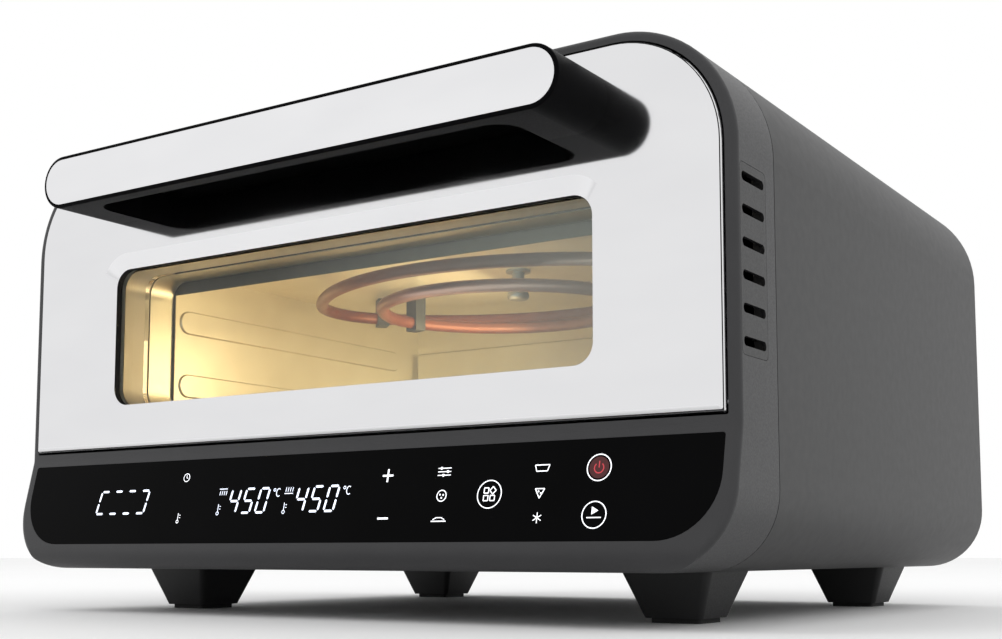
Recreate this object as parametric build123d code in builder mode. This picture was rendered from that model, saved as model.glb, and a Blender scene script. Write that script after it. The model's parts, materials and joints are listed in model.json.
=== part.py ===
from build123d import *
from math import atan2, cos, degrees, hypot, radians, sin, sqrt, tan
import os

# Countertop electric pizza oven with a drop-down glass door.
# Millimetres. X runs right, Y to the rear, Z up. The origin is the bottom centre of the whole oven.

# ---- Overall sizes ----
body_width = 480.0
body_height = 255.0
body_depth = 401.5
handle_reach = 47.5
foot_height = 26.0
top_corner = 62.0
bottom_corner = 38.0

# ---- Front frame ----
frame_depth = 42.6
frame_wall = 5.8
edge_round = 3.0
rail_low = 61.9
rail_high = 69.8
rail_depth = 26.0
chin_top = 66.0
chin_tilt = 12.2
chin_round = 11.0
frame_floor = 6.0
panel_low = 14.5
panel_border = 7.0
panel_thick = 3.0
panel_ledge = 8.0

# ---- Fits ----
fit = 0.2
seam = 0.6
door_gap = 0.6
pin_clearance = 0.05

# ---- Sheet metal ----
wrap_sheet = 0.8
plate_sheet = 1.0
liner_sheet = 0.6
skin_sheet = 0.8
base_lip = 8.0
base_edge_gap = 1.5
intake_slot = 70.0
intake_height = 4.0
intake_pitch = 10.0
intake_rows = 9
rear_inset = 2.0

# ---- Side vents ----
vent_low = 96.5
vent_high = 184.0
vent_start = 3.0
vent_end = 32.0
vent_thick = 2.0
slot_length = 25.0
slot_height = 4.4
slot_pitch = 15.0
slot_count = 6

# ---- Feet ----
foot_top = 50.0
foot_bottom = 32.0
foot_round = 4.0
pad_width = 27.0
pad_height = 2.5
foot_side_inset = 68.0
foot_front = 83.0
foot_rear_inset = 57.5

# ---- Door ----
door_proud = 2.6
door_bottom = 70.8
skin_depth = 12.0
door_depth = 28.0
liner_inset = 5.5
hinge_offset = 4.8
hinge_edge_round = 3.4
hinge_pin_r = 1.5
window_side_border = 67.8
window_low_border = 26.4
window_top_border = 69.8
window_corner = 11.0
bevel_width = 9.6
bevel_depth = 2.8
gasket_depth = 4.0
seal_width = 6.0
seal_gap = 3.0
glass_thick = 4.0
glass_lap = 7.0

# ---- Door handle ----
handle_inset = 57.6
handle_height = 30.5
handle_drop = 10.9
face_rim = 1.8
face_thick = 1.6
handle_end = 33.0
pocket_lip = 9.0
pocket_rise = 20.0
pocket_corner = 14.0
handle_edge = 1.2

# ---- Hinge arms ----
arm_inset = 19.6
arm_thick = 2.5
arm_inner = 38.0
arm_outer = 45.0
arm_top_angle = 62.0
arm_low_angle = -44.0
block_width = 20.0
block_height = 34.0

# ---- Cavity ----
side_space = 60.0
cavity_low = 72.0
roof_space = 64.0
rear_space = 78.9
mouth_front = 29.2
mouth_plate = 31.2
mouth_back = 48.0
mouth_flange_side = 36.0
mouth_flange_low = 74.0
mouth_flange_top = 39.0
lip_drop = 8.0
lip_side = 1.6
lip_lap = 3.0
rib_proud = 1.2
rib_front_gap = 18.8
rib_rear_gap = 24.6
rib_height = 15.4
rib_drops = (73.5, 31.9)
step_rise = 4.0
step_drop = 23.0
step_inset = 3.0
step_edge = 1.0

# ---- Heating elements ----
upper_drop = 14.0
ring_gap = 2.0
lower_rise = 6.0
tube_r = 4.0
lower_tube_r = 3.4
outer_side_gap = 39.0
outer_front_gap = 40.5
outer_rear_gap = 51.1
ring_step_x = 55.0
ring_step_y = 16.0
outer_end_r = 50.0
inner_end_r = 46.0
lower_side_gap = 40.0
lower_end_gap = 33.0
lower_end_r = 72.0
outer_legs = (24.0, 84.0)
inner_legs = (42.0, 66.0)
lower_legs = (-30.0, 30.0)
leg_bend = 12.0
leg_past_wall = 16.0
clip_width = 8.0
clip_thick = 1.5
bush_r = 7.5
bush_length = 12.0

# ---- Baking stone ----
stone_side_gap = 12.0
stone_thick = 12.0
stone_front = 51.0
stone_rear_gap = 3.0
stone_corner = 8.0
stone_edge = 1.5
rail_width = 14.0

# ---- Insulation and inner case ----
side_wool = 16.0
top_wool = 24.0
rear_wool = 20.0
floor_wool = 26.0
wool_gap = 0.5
case_sheet = 0.6
case_corner = 1.2
case_front = 50.0

# ---- Cooling fan and rear panel ----
fan_side_inset = 128.0
fan_top_inset = 105.0
fan_size = 80.0
fan_thick = 18.0
fan_corner = 4.0
fan_screw_r = 2.2
fan_screw_inset = 4.5
spoke_thick = 3.0
spoke_width = 5.0
fan_shaft_r = 1.5
fan_bore_r = 37.0
fan_hub_r = 16.0
fan_tip_r = 34.5
blade_count = 7
blade_twist = 32.0
blade_width = 12.0
blade_sheet = 1.6
grille_pitch = 9.0
grille_slot = 4.5
grille_rows = 7

# ---- Mains inlet ----
inlet_side_inset = 90.0
inlet_level = 42.0
inlet_width = 30.0
inlet_height = 23.0
inlet_depth = 26.0
inlet_wall = 3.0
inlet_recess = 19.0
inlet_pin_length = 13.0
inlet_flange = 4.0
inlet_proud = 1.2
inlet_corner = 3.0
inlet_pin_places = ((-7.0, -2.0), (7.0, -2.0), (0.0, 2.0))

# ---- Oven lamp and probes ----
lamp_rear_gap = 16.0
lamp_drop = 53.0
lamp_r = 13.0
lamp_rim = 2.5
bulb_r = 5.0
probe_x = 9.0
probe_r = 4.0
probe_tip_r = 7.0
probe_tip = 6.0
probe_hang = 19.5
probe_flange_r = 8.0
probe_flange = 1.5
probe_tail = 12.0

# ---- Electronics ----
display_depth = 9.0
timer_display_place = (-147.0, 58.0, 22.0)
temperature_display_place = (-21.0, 104.0, 24.0)
touch_board_place = (115.0, 160.0, 30.0)
board_sheet = 1.6
board_level = 12.0
board_centre = (60.0, 120.0)
board_size = (150.0, 90.0)
board_leg_inset = 6.0
board_leg_r = 3.0
board_blocks = (
    (-40.0, -10.0, 20.0, 16.0, 16.0),
    (-15.0, -10.0, 20.0, 16.0, 16.0),
    (35.0, 0.0, 30.0, 32.0, 20.0),
)

# ---- Screws ----
screw_r = 1.9
screw_head_r = 3.6
screw_head_thick = 2.2
rear_screw_inset = 22.0
rear_screw_low = 60.0
rear_screw_drop = 70.0

# ---- Derived places ----
floor_z = foot_height
roof_z = floor_z + body_height
front_y = handle_reach - (body_depth + handle_reach) / 2
rear_y = front_y + body_depth
half_width = body_width / 2
door_half = half_width - frame_wall - door_gap
door_top = body_height - frame_wall + 0.7 - door_gap
door_corner = top_corner - frame_wall - door_gap
panel_half = half_width - panel_border
window_half = door_half - window_side_border
window_low = door_bottom + window_low_border
window_high = door_top - window_top_border
handle_half = door_half - handle_inset
handle_high = door_top - handle_drop
handle_low = handle_high - handle_height
handle_mid = handle_high - handle_height / 2
pocket_half = handle_half - handle_end
handle_screw_x = handle_half - handle_end / 2
cavity_half = half_width - side_space
cavity_high = body_height - roof_space
cavity_back = body_depth - rear_space
mouth_flange_half = half_width - mouth_flange_side
mouth_flange_high = body_height - mouth_flange_top
upper_level = cavity_high - upper_drop
inner_level = upper_level - 2 * tube_r - ring_gap
lower_level = cavity_low + lower_rise
lamp_place = (cavity_back - lamp_rear_gap, cavity_high - lamp_drop)
foot_x = half_width - foot_side_inset
foot_rear = body_depth - foot_rear_inset
fan_x = half_width - fan_side_inset
fan_level = body_height - fan_top_inset
inlet_x = inlet_side_inset - half_width
arm_x = door_half - arm_inset
rear_plate_y = rear_y - rear_inset
hinge_y = front_y - door_proud + hinge_offset
hinge_z = floor_z + door_bottom + hinge_offset


def level(height):
    """Row height of a level measured from the underside of the body."""
    return floor_z + height


def depth(distance):
    """Row Y of a depth measured back from the front plane of the frame."""
    return front_y + distance


def facing(distance):
    """Plane at that depth, seen from the front: positive extrusion comes forward."""
    return Plane.XZ.offset(-depth(distance))


def rounded(half, low, high, top_radius, low_radius, mode=Mode.ADD):
    """Face of an upright outline with its own top and bottom corner radii."""
    with BuildLine() as line:
        FilletPolyline(
            (-half, low),
            (half, low),
            (half, high),
            (-half, high),
            radius=[low_radius, low_radius, top_radius, top_radius],
            close=True,
        )
    make_face(line.edges(), mode=mode)


def window(grow, mode=Mode.ADD):
    """Window outline of the door and the oven mouth, grown by a margin."""
    rounded(
        window_half + grow,
        level(window_low - grow),
        level(window_high + grow),
        window_corner + grow,
        window_corner + grow,
        mode,
    )


def save(piece, name):
    """Label a finished piece and write it under its node name."""
    piece.label = name
    export_step(piece, f"parts/{name}.step")


os.makedirs("parts", exist_ok=True)

# ================= Outer body =================

chin_plane = Plane(
    origin=(0, front_y, level(chin_top)),
    x_dir=(1, 0, 0),
    z_dir=(0, -cos(radians(chin_tilt)), sin(radians(chin_tilt))),
)
chin_reach = chin_top * tan(radians(chin_tilt))
slope = 1 / cos(radians(chin_tilt))
panel_top_v = (rail_low - chin_top) * slope
panel_low_v = (panel_low - chin_top) * slope
panel_corner = bottom_corner - panel_border


def panel_outline(shrink, mode=Mode.ADD):
    """Control panel outline on the sloping chin."""
    with BuildLine() as line:
        FilletPolyline(
            (-panel_half + shrink, panel_low_v + shrink),
            (panel_half - shrink, panel_low_v + shrink),
            (panel_half - shrink, panel_top_v - shrink),
            (-panel_half + shrink, panel_top_v - shrink),
            radius=[panel_corner - shrink, panel_corner - shrink, 1.5, 1.5],
            close=True,
        )
    make_face(line.edges(), mode=mode)


def side_profile(under_radius):
    """Section of the frame seen from the side: upright above, sloping forward at the chin."""
    with BuildLine() as line:
        FilletPolyline(
            (depth(frame_depth), floor_z),
            (front_y - chin_reach, floor_z),
            (front_y, level(chin_top)),
            (front_y, roof_z + 1),
            (depth(frame_depth), roof_z + 1),
            radius=[0, under_radius, chin_round, 0, 0],
            close=True,
        )
    make_face(line.edges())


def is_outer_edge(edge):
    """True for the edges around the front faces, not for the seams between them."""
    across = edge.geom_type == GeomType.LINE and abs(edge.tangent_at(0.5).X) > 0.9
    return not (across and abs(edge.center().Z - level(chin_top)) < 2 * chin_round)


with BuildPart() as front_frame:
    with BuildSketch(facing(frame_depth)):
        rounded(half_width, floor_z, roof_z, top_corner, bottom_corner)
    extrude(amount=frame_depth + chin_reach + 1)
    with BuildSketch(Plane.YZ):
        side_profile(0)
    extrude(amount=half_width + 1, both=True, mode=Mode.INTERSECT)
    faces_ahead = front_frame.faces().sort_by(Axis.Y)[:3]
    fillet(faces_ahead.edges().filter_by(is_outer_edge), edge_round)
    with BuildSketch(Plane.YZ):
        side_profile(chin_round)
    extrude(amount=half_width + 1, both=True, mode=Mode.INTERSECT)
    # Door opening, down to the top of the rail.
    with BuildSketch(facing(frame_depth + 1)):
        rounded(
            door_half + door_gap,
            level(rail_high),
            level(door_top + door_gap),
            door_corner + door_gap,
            1.0,
        )
    extrude(amount=frame_depth + chin_reach + 2, mode=Mode.SUBTRACT)
    # Seat for the control panel and the opening behind it.
    with BuildSketch(chin_plane):
        panel_outline(-fit)
    extrude(amount=-(panel_thick + fit), mode=Mode.SUBTRACT)
    with BuildSketch(chin_plane):
        panel_outline(-fit)
    extrude(amount=chin_reach, mode=Mode.SUBTRACT)
    with BuildSketch(chin_plane):
        panel_outline(panel_ledge)
    extrude(amount=-2 * panel_ledge, mode=Mode.SUBTRACT)
    # Hollow behind the panel, and behind the rail for the hinge arms.
    with BuildSketch(facing(frame_depth + 1)):
        rounded(door_half - panel_ledge, level(frame_floor), level(rail_low), 6, panel_corner - panel_ledge)
    extrude(amount=frame_depth + 1 - panel_ledge, mode=Mode.SUBTRACT)
    with BuildSketch(facing(frame_depth + 1)):
        rounded(door_half - panel_ledge, level(rail_low - panel_ledge), level(rail_high + 1), 0, 0)
    extrude(amount=frame_depth + 1 - rail_depth, mode=Mode.SUBTRACT)
    # Seats and windows for the side vent plates.
    for side in (-1, 1):
        with BuildSketch(Plane.YZ.offset(side * half_width)):
            with Locations((depth((vent_start + vent_end) / 2), level((vent_low + vent_high) / 2))):
                RectangleRounded(vent_end - vent_start + 2 * fit, vent_high - vent_low + 2 * fit, 3 + fit)
        extrude(amount=-side * vent_thick, mode=Mode.SUBTRACT)
        with BuildSketch(Plane.YZ.offset(side * half_width)):
            with Locations((depth((vent_start + vent_end) / 2), level((vent_low + vent_high) / 2))):
                RectangleRounded(slot_length, vent_high - vent_low - slot_height, 2)
        extrude(amount=-side * (frame_wall + 1), mode=Mode.SUBTRACT)
    # Blind holes that carry the hinge pins.
    with BuildSketch(Plane.YZ):
        with Locations((hinge_y, hinge_z)):
            Circle(hinge_pin_r)
    extrude(amount=half_width - edge_round, both=True, mode=Mode.SUBTRACT)
save(front_frame.part, "front_frame")

for side, name in ((-1, "vent_plate_left"), (1, "vent_plate_right")):
    with BuildPart() as vent_plate:
        with BuildSketch(Plane.YZ.offset(side * half_width)):
            with Locations((depth((vent_start + vent_end) / 2), level((vent_low + vent_high) / 2))):
                RectangleRounded(vent_end - vent_start, vent_high - vent_low, 3)
                with GridLocations(0, slot_pitch, 1, slot_count):
                    SlotOverall(slot_length, slot_height, mode=Mode.SUBTRACT)
        extrude(amount=-side * (vent_thick - fit / 2))
    save(vent_plate.part, name)

wrap_front = frame_depth + seam
base_half = half_width - bottom_corner - base_edge_gap

with BuildPart() as housing_wrap:
    with BuildSketch(facing(body_depth)):
        rounded(half_width, floor_z, roof_z, top_corner, bottom_corner)
        rounded(
            half_width - wrap_sheet,
            floor_z + wrap_sheet,
            roof_z - wrap_sheet,
            top_corner - wrap_sheet,
            bottom_corner - wrap_sheet,
            mode=Mode.SUBTRACT,
        )
        with Locations((0, floor_z)):
            Rectangle(2 * (base_half + fit), 4 * wrap_sheet, mode=Mode.SUBTRACT)
    extrude(amount=body_depth - wrap_front)
save(housing_wrap.part, "housing_wrap")

base_length = body_depth - wrap_front
base_middle = depth((body_depth + wrap_front) / 2)

with BuildPart() as base_plate:
    with BuildSketch(Plane.XY.offset(floor_z)):
        with Locations((0, base_middle)):
            Rectangle(2 * base_half, base_length)
        # Air intake slots between the feet.
        for side in (-1, 1):
            with Locations((side * base_half / 3, base_middle)):
                with GridLocations(0, intake_pitch, 1, intake_rows):
                    SlotOverall(intake_slot, intake_height, mode=Mode.SUBTRACT)
    extrude(amount=wrap_sheet)
    with BuildSketch(Plane.XY.offset(floor_z + wrap_sheet)):
        for side in (-1, 1):
            with Locations((side * (base_half - wrap_sheet / 2), base_middle)):
                Rectangle(wrap_sheet, base_length - 2 * base_lip)
    extrude(amount=base_lip)
save(base_plate.part, "base_plate")

with BuildPart() as rear_panel:
    with BuildSketch(facing(body_depth - rear_inset)):
        inset = wrap_sheet + fit
        rounded(half_width - inset, floor_z + inset, roof_z - inset, top_corner - inset, bottom_corner - inset)
        with Locations((fan_x, level(fan_level))):
            with GridLocations(0, grille_pitch, 1, grille_rows):
                SlotOverall(fan_bore_r * 1.7, grille_slot, mode=Mode.SUBTRACT)
        with Locations((-fan_x, level(fan_level))):
            with GridLocations(0, grille_pitch, 1, grille_rows):
                SlotOverall(fan_bore_r * 1.7, grille_slot, mode=Mode.SUBTRACT)
        with Locations((inlet_x, level(inlet_level))):
            Rectangle(inlet_width + 2 * fit, inlet_height + 2 * fit, mode=Mode.SUBTRACT)
    extrude(amount=plate_sheet)
save(rear_panel.part, "rear_panel")

# ================= Feet =================

foot_body = foot_height - pad_height
foot_places = [
    ("foot_front_left", -foot_x, foot_front),
    ("foot_front_right", foot_x, foot_front),
    ("foot_rear_left", -foot_x, foot_rear),
    ("foot_rear_right", foot_x, foot_rear),
]
for name, x, y in foot_places:
    with BuildPart() as foot:
        with BuildSketch(Plane.XY.offset(floor_z)):
            with Locations((x, depth(y))):
                RectangleRounded(foot_top, foot_top, foot_round)
        with BuildSketch(Plane.XY.offset(pad_height)):
            with Locations((x, depth(y))):
                RectangleRounded(foot_bottom, foot_bottom, foot_round * 0.7)
        loft()
        with BuildSketch(Plane.XY.offset(pad_height)):
            with Locations((x, depth(y))):
                Circle(screw_head_r + 1)
        extrude(amount=foot_body - 6, mode=Mode.SUBTRACT)
        with BuildSketch(Plane.XY.offset(pad_height)):
            with Locations((x, depth(y))):
                Circle(screw_r + fit)
        extrude(amount=foot_body + 1, mode=Mode.SUBTRACT)
    save(foot.part, name)

with BuildPart() as foot_pads:
    with BuildSketch(Plane.XY):
        for name, x, y in foot_places:
            with Locations((x, depth(y))):
                RectangleRounded(pad_width, pad_width, foot_round * 0.6)
    extrude(amount=pad_height)
save(foot_pads.part, "foot_pads")

with BuildPart() as foot_screws:
    for name, x, y in foot_places:
        with BuildSketch(Plane.XY.offset(floor_z - 6 - screw_head_thick)):
            with Locations((x, depth(y))):
                Circle(screw_head_r)
        extrude(amount=screw_head_thick)
        with BuildSketch(Plane.XY.offset(floor_z - 6)):
            with Locations((x, depth(y))):
                Circle(screw_r)
        extrude(amount=6)
save(foot_screws.part, "foot_screws")

# ================= Control panel =================

with BuildPart() as control_panel:
    with BuildSketch(chin_plane):
        panel_outline(0)
    extrude(amount=-panel_thick)
save(control_panel.part, "control_panel_glass")

panel_mid_v = (panel_top_v + panel_low_v) / 2
behind_panel = chin_plane.offset(-(panel_thick + fit))

for name, (x, width, height) in (
    ("timer_display", timer_display_place),
    ("temperature_display", temperature_display_place),
):
    with BuildPart() as display:
        with BuildSketch(behind_panel):
            with Locations((x, panel_mid_v)):
                Rectangle(width, height)
        extrude(amount=-display_depth)
    save(display.part, name)

with BuildPart() as touch_board:
    with BuildSketch(behind_panel):
        with Locations((touch_board_place[0], panel_mid_v)):
            Rectangle(*touch_board_place[1:])
    extrude(amount=-board_sheet)
save(touch_board.part, "touch_board")

with BuildPart() as power_board:
    board_x, board_y = board_centre
    with BuildSketch(Plane.XY.offset(level(board_level))):
        with Locations((board_x, depth(board_y))):
            Rectangle(*board_size)
    extrude(amount=board_sheet)
    # Two relays and a transformer.
    for x, y, width, length, height in board_blocks:
        with BuildSketch(Plane.XY.offset(level(board_level) + board_sheet)):
            with Locations((board_x + x, depth(board_y + y))):
                Rectangle(width, length)
        extrude(amount=height)
    # Stand-offs down to the base plate.
    with BuildSketch(Plane.XY.offset(floor_z + wrap_sheet)):
        with Locations((board_x, depth(board_y))):
            with GridLocations(board_size[0] - 2 * board_leg_inset, board_size[1] - 2 * board_leg_inset, 2, 2):
                Circle(board_leg_r)
    extrude(amount=board_level - wrap_sheet)
save(power_board.part, "power_board")

# ================= Cavity =================

cavity_length = cavity_back - mouth_back
cavity_middle = (cavity_back + mouth_back) / 2
outer_half_x = cavity_half - outer_side_gap
outer_half_y = (cavity_length - outer_front_gap - outer_rear_gap) / 2
ring_centre = mouth_back + outer_front_gap + outer_half_y
rib_length = cavity_length - rib_front_gap - rib_rear_gap
rib_middle = mouth_back + rib_front_gap + rib_length / 2

with BuildPart() as mouth_frame:
    with BuildSketch(facing(mouth_plate)):
        rounded(mouth_flange_half, level(mouth_flange_low), level(mouth_flange_high), 12, 12)
        window(liner_sheet, mode=Mode.SUBTRACT)
    extrude(amount=-liner_sheet)
    with BuildSketch(facing(mouth_back)):
        window(liner_sheet)
        window(0, mode=Mode.SUBTRACT)
    extrude(amount=mouth_back - mouth_front)
    with BuildSketch(facing(mouth_back)):
        outer = cavity_half + liner_sheet
        rounded(outer, level(cavity_low - liner_sheet), level(cavity_high + liner_sheet), 2, 2)
        window(liner_sheet, mode=Mode.SUBTRACT)
    extrude(amount=liner_sheet)
save(mouth_frame.part, "mouth_frame")

# Strip welded behind the mouth frame: it hangs below the top of the opening and edges its sides.
with BuildPart() as mouth_lip:
    with BuildSketch(facing(mouth_back + liner_sheet)):
        window(lip_lap)
        open_top = level(window_high - lip_drop)
        open_low = level(window_low - 2 * lip_lap)
        with Locations((0, (open_top + open_low) / 2)):
            Rectangle(2 * (window_half - lip_side), open_top - open_low, mode=Mode.SUBTRACT)
    extrude(amount=liner_sheet)
save(mouth_lip.part, "mouth_lip")

for side, name in ((-1, "cavity_left_wall"), (1, "cavity_right_wall")):
    with BuildPart() as wall:
        with BuildSketch(Plane.YZ.offset(side * cavity_half)):
            with Locations((depth(cavity_middle), level((cavity_low + cavity_high) / 2))):
                Rectangle(cavity_length, cavity_high - cavity_low)
        extrude(amount=side * liner_sheet)
        # Pressed stiffening ribs, standing into the cavity.
        with BuildSketch(Plane.YZ.offset(side * cavity_half)):
            for drop in rib_drops:
                with Locations((depth(rib_middle), level(cavity_high - drop))):
                    SlotOverall(rib_length, rib_height)
        extrude(amount=-side * rib_proud)
        top_face = wall.faces().filter_by(Axis.X).sort_by(Axis.X)
        ribs = top_face[:2] if side > 0 else top_face[-2:]
        chamfer(ribs.edges(), rib_proud * 0.7)
        if side > 0:
            with BuildSketch(Plane.YZ.offset(cavity_half + liner_sheet)):
                with Locations((depth(lamp_place[0]), level(lamp_place[1]))):
                    Circle(lamp_r + fit)
            extrude(amount=-2 * (liner_sheet + rib_proud), mode=Mode.SUBTRACT)
    save(wall.part, name)

with BuildPart() as cavity_ceiling:
    with BuildSketch(Plane.XY.offset(level(cavity_high))):
        with Locations((0, depth(cavity_middle))):
            Rectangle(2 * (cavity_half + liner_sheet), cavity_length)
        with Locations((probe_x, depth(ring_centre))):
            Circle(probe_r + fit, mode=Mode.SUBTRACT)
    extrude(amount=liner_sheet)
save(cavity_ceiling.part, "cavity_ceiling")

with BuildPart() as cavity_floor:
    with BuildSketch(Plane.XY.offset(level(cavity_low))):
        with Locations((0, depth(cavity_middle))):
            Rectangle(2 * (cavity_half + liner_sheet), cavity_length)
    extrude(amount=-liner_sheet)
save(cavity_floor.part, "cavity_floor")

leg_places = [(x, upper_level, tube_r) for x in outer_legs]
leg_places += [(x, inner_level, tube_r) for x in inner_legs]
leg_places += [(x, lower_level, lower_tube_r) for x in lower_legs]

with BuildPart() as rear_wall:
    with BuildSketch(facing(cavity_back)):
        outer = cavity_half + liner_sheet
        rounded(outer, level(cavity_low - liner_sheet), level(cavity_high + liner_sheet), 2, 2)
    extrude(amount=-liner_sheet)
    with BuildSketch(facing(cavity_back)):
        rounded(cavity_half - step_inset, level(cavity_low + step_inset), level(cavity_high - step_drop), 3, 3)
    extrude(amount=step_rise)
    chamfer(rear_wall.faces().filter_by(Axis.Y).sort_by(Axis.Y)[0].edges(), step_edge)
    # Hollow back of the pressing.
    with BuildSketch(facing(cavity_back + liner_sheet)):
        hollow = step_inset + step_edge
        hollow_high = level(cavity_high - step_drop - step_edge)
        rounded(cavity_half - hollow, level(cavity_low + hollow), hollow_high, 2, 2)
    extrude(amount=step_rise, mode=Mode.SUBTRACT)
    with BuildSketch(facing(cavity_back + 2)):
        for x, height, radius in leg_places:
            with Locations((x, level(height))):
                Circle(radius + fit)
    extrude(amount=step_rise + 4, mode=Mode.SUBTRACT)
save(rear_wall.part, "cavity_rear_wall")

ledge_middle = level(cavity_low + stone_thick - liner_sheet / 2)
web_middle = level(cavity_low + stone_thick / 2)

with BuildPart() as stone_rails:
    for side in (-1, 1):
        with BuildSketch(facing(cavity_back - step_rise - 1)):
            with Locations((side * (cavity_half - rail_width / 2 - fit), ledge_middle)):
                Rectangle(rail_width, liner_sheet)
            with Locations((side * (cavity_half - liner_sheet / 2 - fit), web_middle)):
                Rectangle(liner_sheet, stone_thick)
        extrude(amount=cavity_back - step_rise - stone_front)
save(stone_rails.part, "stone_rails")

stone_low = cavity_low + stone_thick
stone_back = cavity_back - step_rise - stone_rear_gap
stone_half = cavity_half - stone_side_gap

with BuildPart() as stone:
    with BuildSketch(Plane.XY.offset(level(stone_low))):
        with Locations((0, depth((stone_front + stone_back) / 2))):
            RectangleRounded(2 * stone_half, stone_back - stone_front, stone_corner)
    extrude(amount=stone_thick)
    fillet(stone.faces().sort_by(Axis.Z)[-1].edges(), stone_edge)
save(stone.part, "baking_stone")

# ================= Heating elements =================


def oval_joint(size):
    """Where the end arcs' and side arcs' centres lie from the oval's middle, and where the arcs meet."""
    half_x, half_y, end_r = size
    reach = half_x - end_r
    drop = (reach**2 - (half_y - end_r) ** 2) / (2 * (half_y - end_r))
    share = end_r / sqrt(reach**2 + drop**2)
    return reach, drop, reach + reach * share, drop * share


def oval_path(size, centre, height, legs):
    """Bent tube centre line: an oval of four arcs, its ends running back through the rear wall."""
    half_x, half_y, end_r = size
    reach, drop, join_x, join_y = oval_joint(size)
    side_r = half_y + drop
    middle = depth(centre)
    leg_end = depth(cavity_back + leg_past_wall)

    def on_rear(x):
        return (x, middle - drop + sqrt(side_r**2 - x**2))

    left, right = legs
    with BuildLine(Plane.XY.offset(level(height))) as line:
        Line((right, leg_end), on_rear(right))
        ThreePointArc(on_rear(right), on_rear((right + join_x) / 2), (join_x, middle + join_y))
        ThreePointArc((join_x, middle + join_y), (half_x, middle), (join_x, middle - join_y))
        ThreePointArc((join_x, middle - join_y), (0, middle - half_y), (-join_x, middle - join_y))
        ThreePointArc((-join_x, middle - join_y), (-half_x, middle), (-join_x, middle + join_y))
        ThreePointArc((-join_x, middle + join_y), on_rear((left - join_x) / 2), on_rear(left))
        Line(on_rear(left), (left, leg_end))
        bends = [on_rear(left), on_rear(right)]
        corners = [v for v in line.vertices() if any(hypot(v.X - x, v.Y - y) < 0.01 for x, y in bends)]
        fillet(corners, leg_bend)
    return line


inner_half_x = outer_half_x - ring_step_x
inner_half_y = outer_half_y - ring_step_y
lower_half_x = cavity_half - lower_side_gap
lower_half_y = cavity_length / 2 - lower_end_gap
outer_ring = (outer_half_x, outer_half_y, outer_end_r)
inner_ring = (inner_half_x, inner_half_y, inner_end_r)
lower_ring = (lower_half_x, lower_half_y, lower_end_r)
heaters = (
    ("upper_element_outer", outer_ring, ring_centre, upper_level, outer_legs, tube_r),
    ("upper_element_inner", inner_ring, ring_centre, inner_level, inner_legs, tube_r),
    ("lower_element", lower_ring, cavity_middle, lower_level, lower_legs, lower_tube_r),
)
for name, size, centre, height, legs, radius in heaters:
    with BuildPart() as element:
        path = oval_path(size, centre, height, legs)
        with BuildSketch(facing(cavity_back + leg_past_wall)):
            with Locations((legs[1], level(height))):
                Circle(radius)
        sweep(path=path.wire())
    save(element.part, name)

# Clips hang each upper oval from the ceiling, where its end arcs meet the rear arc.
clip_span = 2 * (tube_r + clip_thick + fit)

with BuildPart() as clips:
    for name, size, centre, height, legs, radius in heaters[:2]:
        reach, drop, x, y = oval_joint(size)
        turn = degrees(atan2(drop, reach))
        low = height - tube_r - clip_thick
        with BuildSketch(Plane.XY.offset(level(low))):
            for side in (-1, 1):
                with Locations((side * x, depth(centre + y))):
                    Rectangle(clip_span, clip_width, rotation=side * turn)
        extrude(amount=cavity_high - low)
    for name, size, centre, height, legs, radius in heaters[:2]:
        path = oval_path(size, centre, height, legs)
        with BuildSketch(facing(cavity_back + leg_past_wall), mode=Mode.PRIVATE) as bore:
            with Locations((legs[1], level(height))):
                Circle(radius + fit)
        sweep(sections=bore.sketch, path=path.wire(), mode=Mode.SUBTRACT)
save(clips.part, "element_clips")

with BuildPart() as bushes:
    with BuildSketch(facing(cavity_back + liner_sheet)):
        for x, height, radius in leg_places:
            with Locations((x, level(height))):
                Circle(bush_r)
                Circle(radius + fit / 2, mode=Mode.SUBTRACT)
    extrude(amount=-bush_length)
save(bushes.part, "terminal_bushes")

# Probe hanging from the ceiling in the middle of the ovals.
with BuildPart() as probe:
    with BuildSketch(Plane.XY.offset(level(cavity_high - probe_hang))):
        with Locations((probe_x, depth(ring_centre))):
            Circle(probe_tip_r)
    extrude(amount=probe_tip)
    fillet(probe.edges().filter_by(GeomType.CIRCLE), probe_tip * 0.45)
    with BuildSketch(Plane.XY.offset(level(cavity_high - probe_hang) + probe_tip / 2)):
        with Locations((probe_x, depth(ring_centre))):
            Circle(probe_r)
    extrude(amount=probe_hang - probe_tip / 2 + probe_tail)
    with BuildSketch(Plane.XY.offset(level(cavity_high) - probe_flange)):
        with Locations((probe_x, depth(ring_centre))):
            Circle(probe_flange_r)
    extrude(amount=probe_flange)
save(probe.part, "temperature_probe")

# ================= Lamp =================

lamp_centre = (depth(lamp_place[0]), level(lamp_place[1]))
lamp_plane = Plane.YZ.offset(cavity_half + liner_sheet)

with BuildPart() as lamp_holder:
    with BuildSketch(lamp_plane):
        with Locations(lamp_centre):
            Circle(lamp_r + lamp_rim)
            Circle(lamp_r - 0.5, mode=Mode.SUBTRACT)
    extrude(amount=side_wool * 0.6)
    with BuildSketch(lamp_plane.offset(side_wool * 0.6)):
        with Locations(lamp_centre):
            Circle(lamp_r + lamp_rim)
    extrude(amount=3)
save(lamp_holder.part, "lamp_holder")

with BuildPart() as lamp_bulb:
    with BuildSketch(lamp_plane.offset(side_wool * 0.6)):
        with Locations(lamp_centre):
            Circle(bulb_r)
    extrude(amount=-side_wool * 0.4)
    fillet(lamp_bulb.faces().sort_by(Axis.X)[0].edges(), bulb_r * 0.8)
save(lamp_bulb.part, "lamp_bulb")

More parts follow.
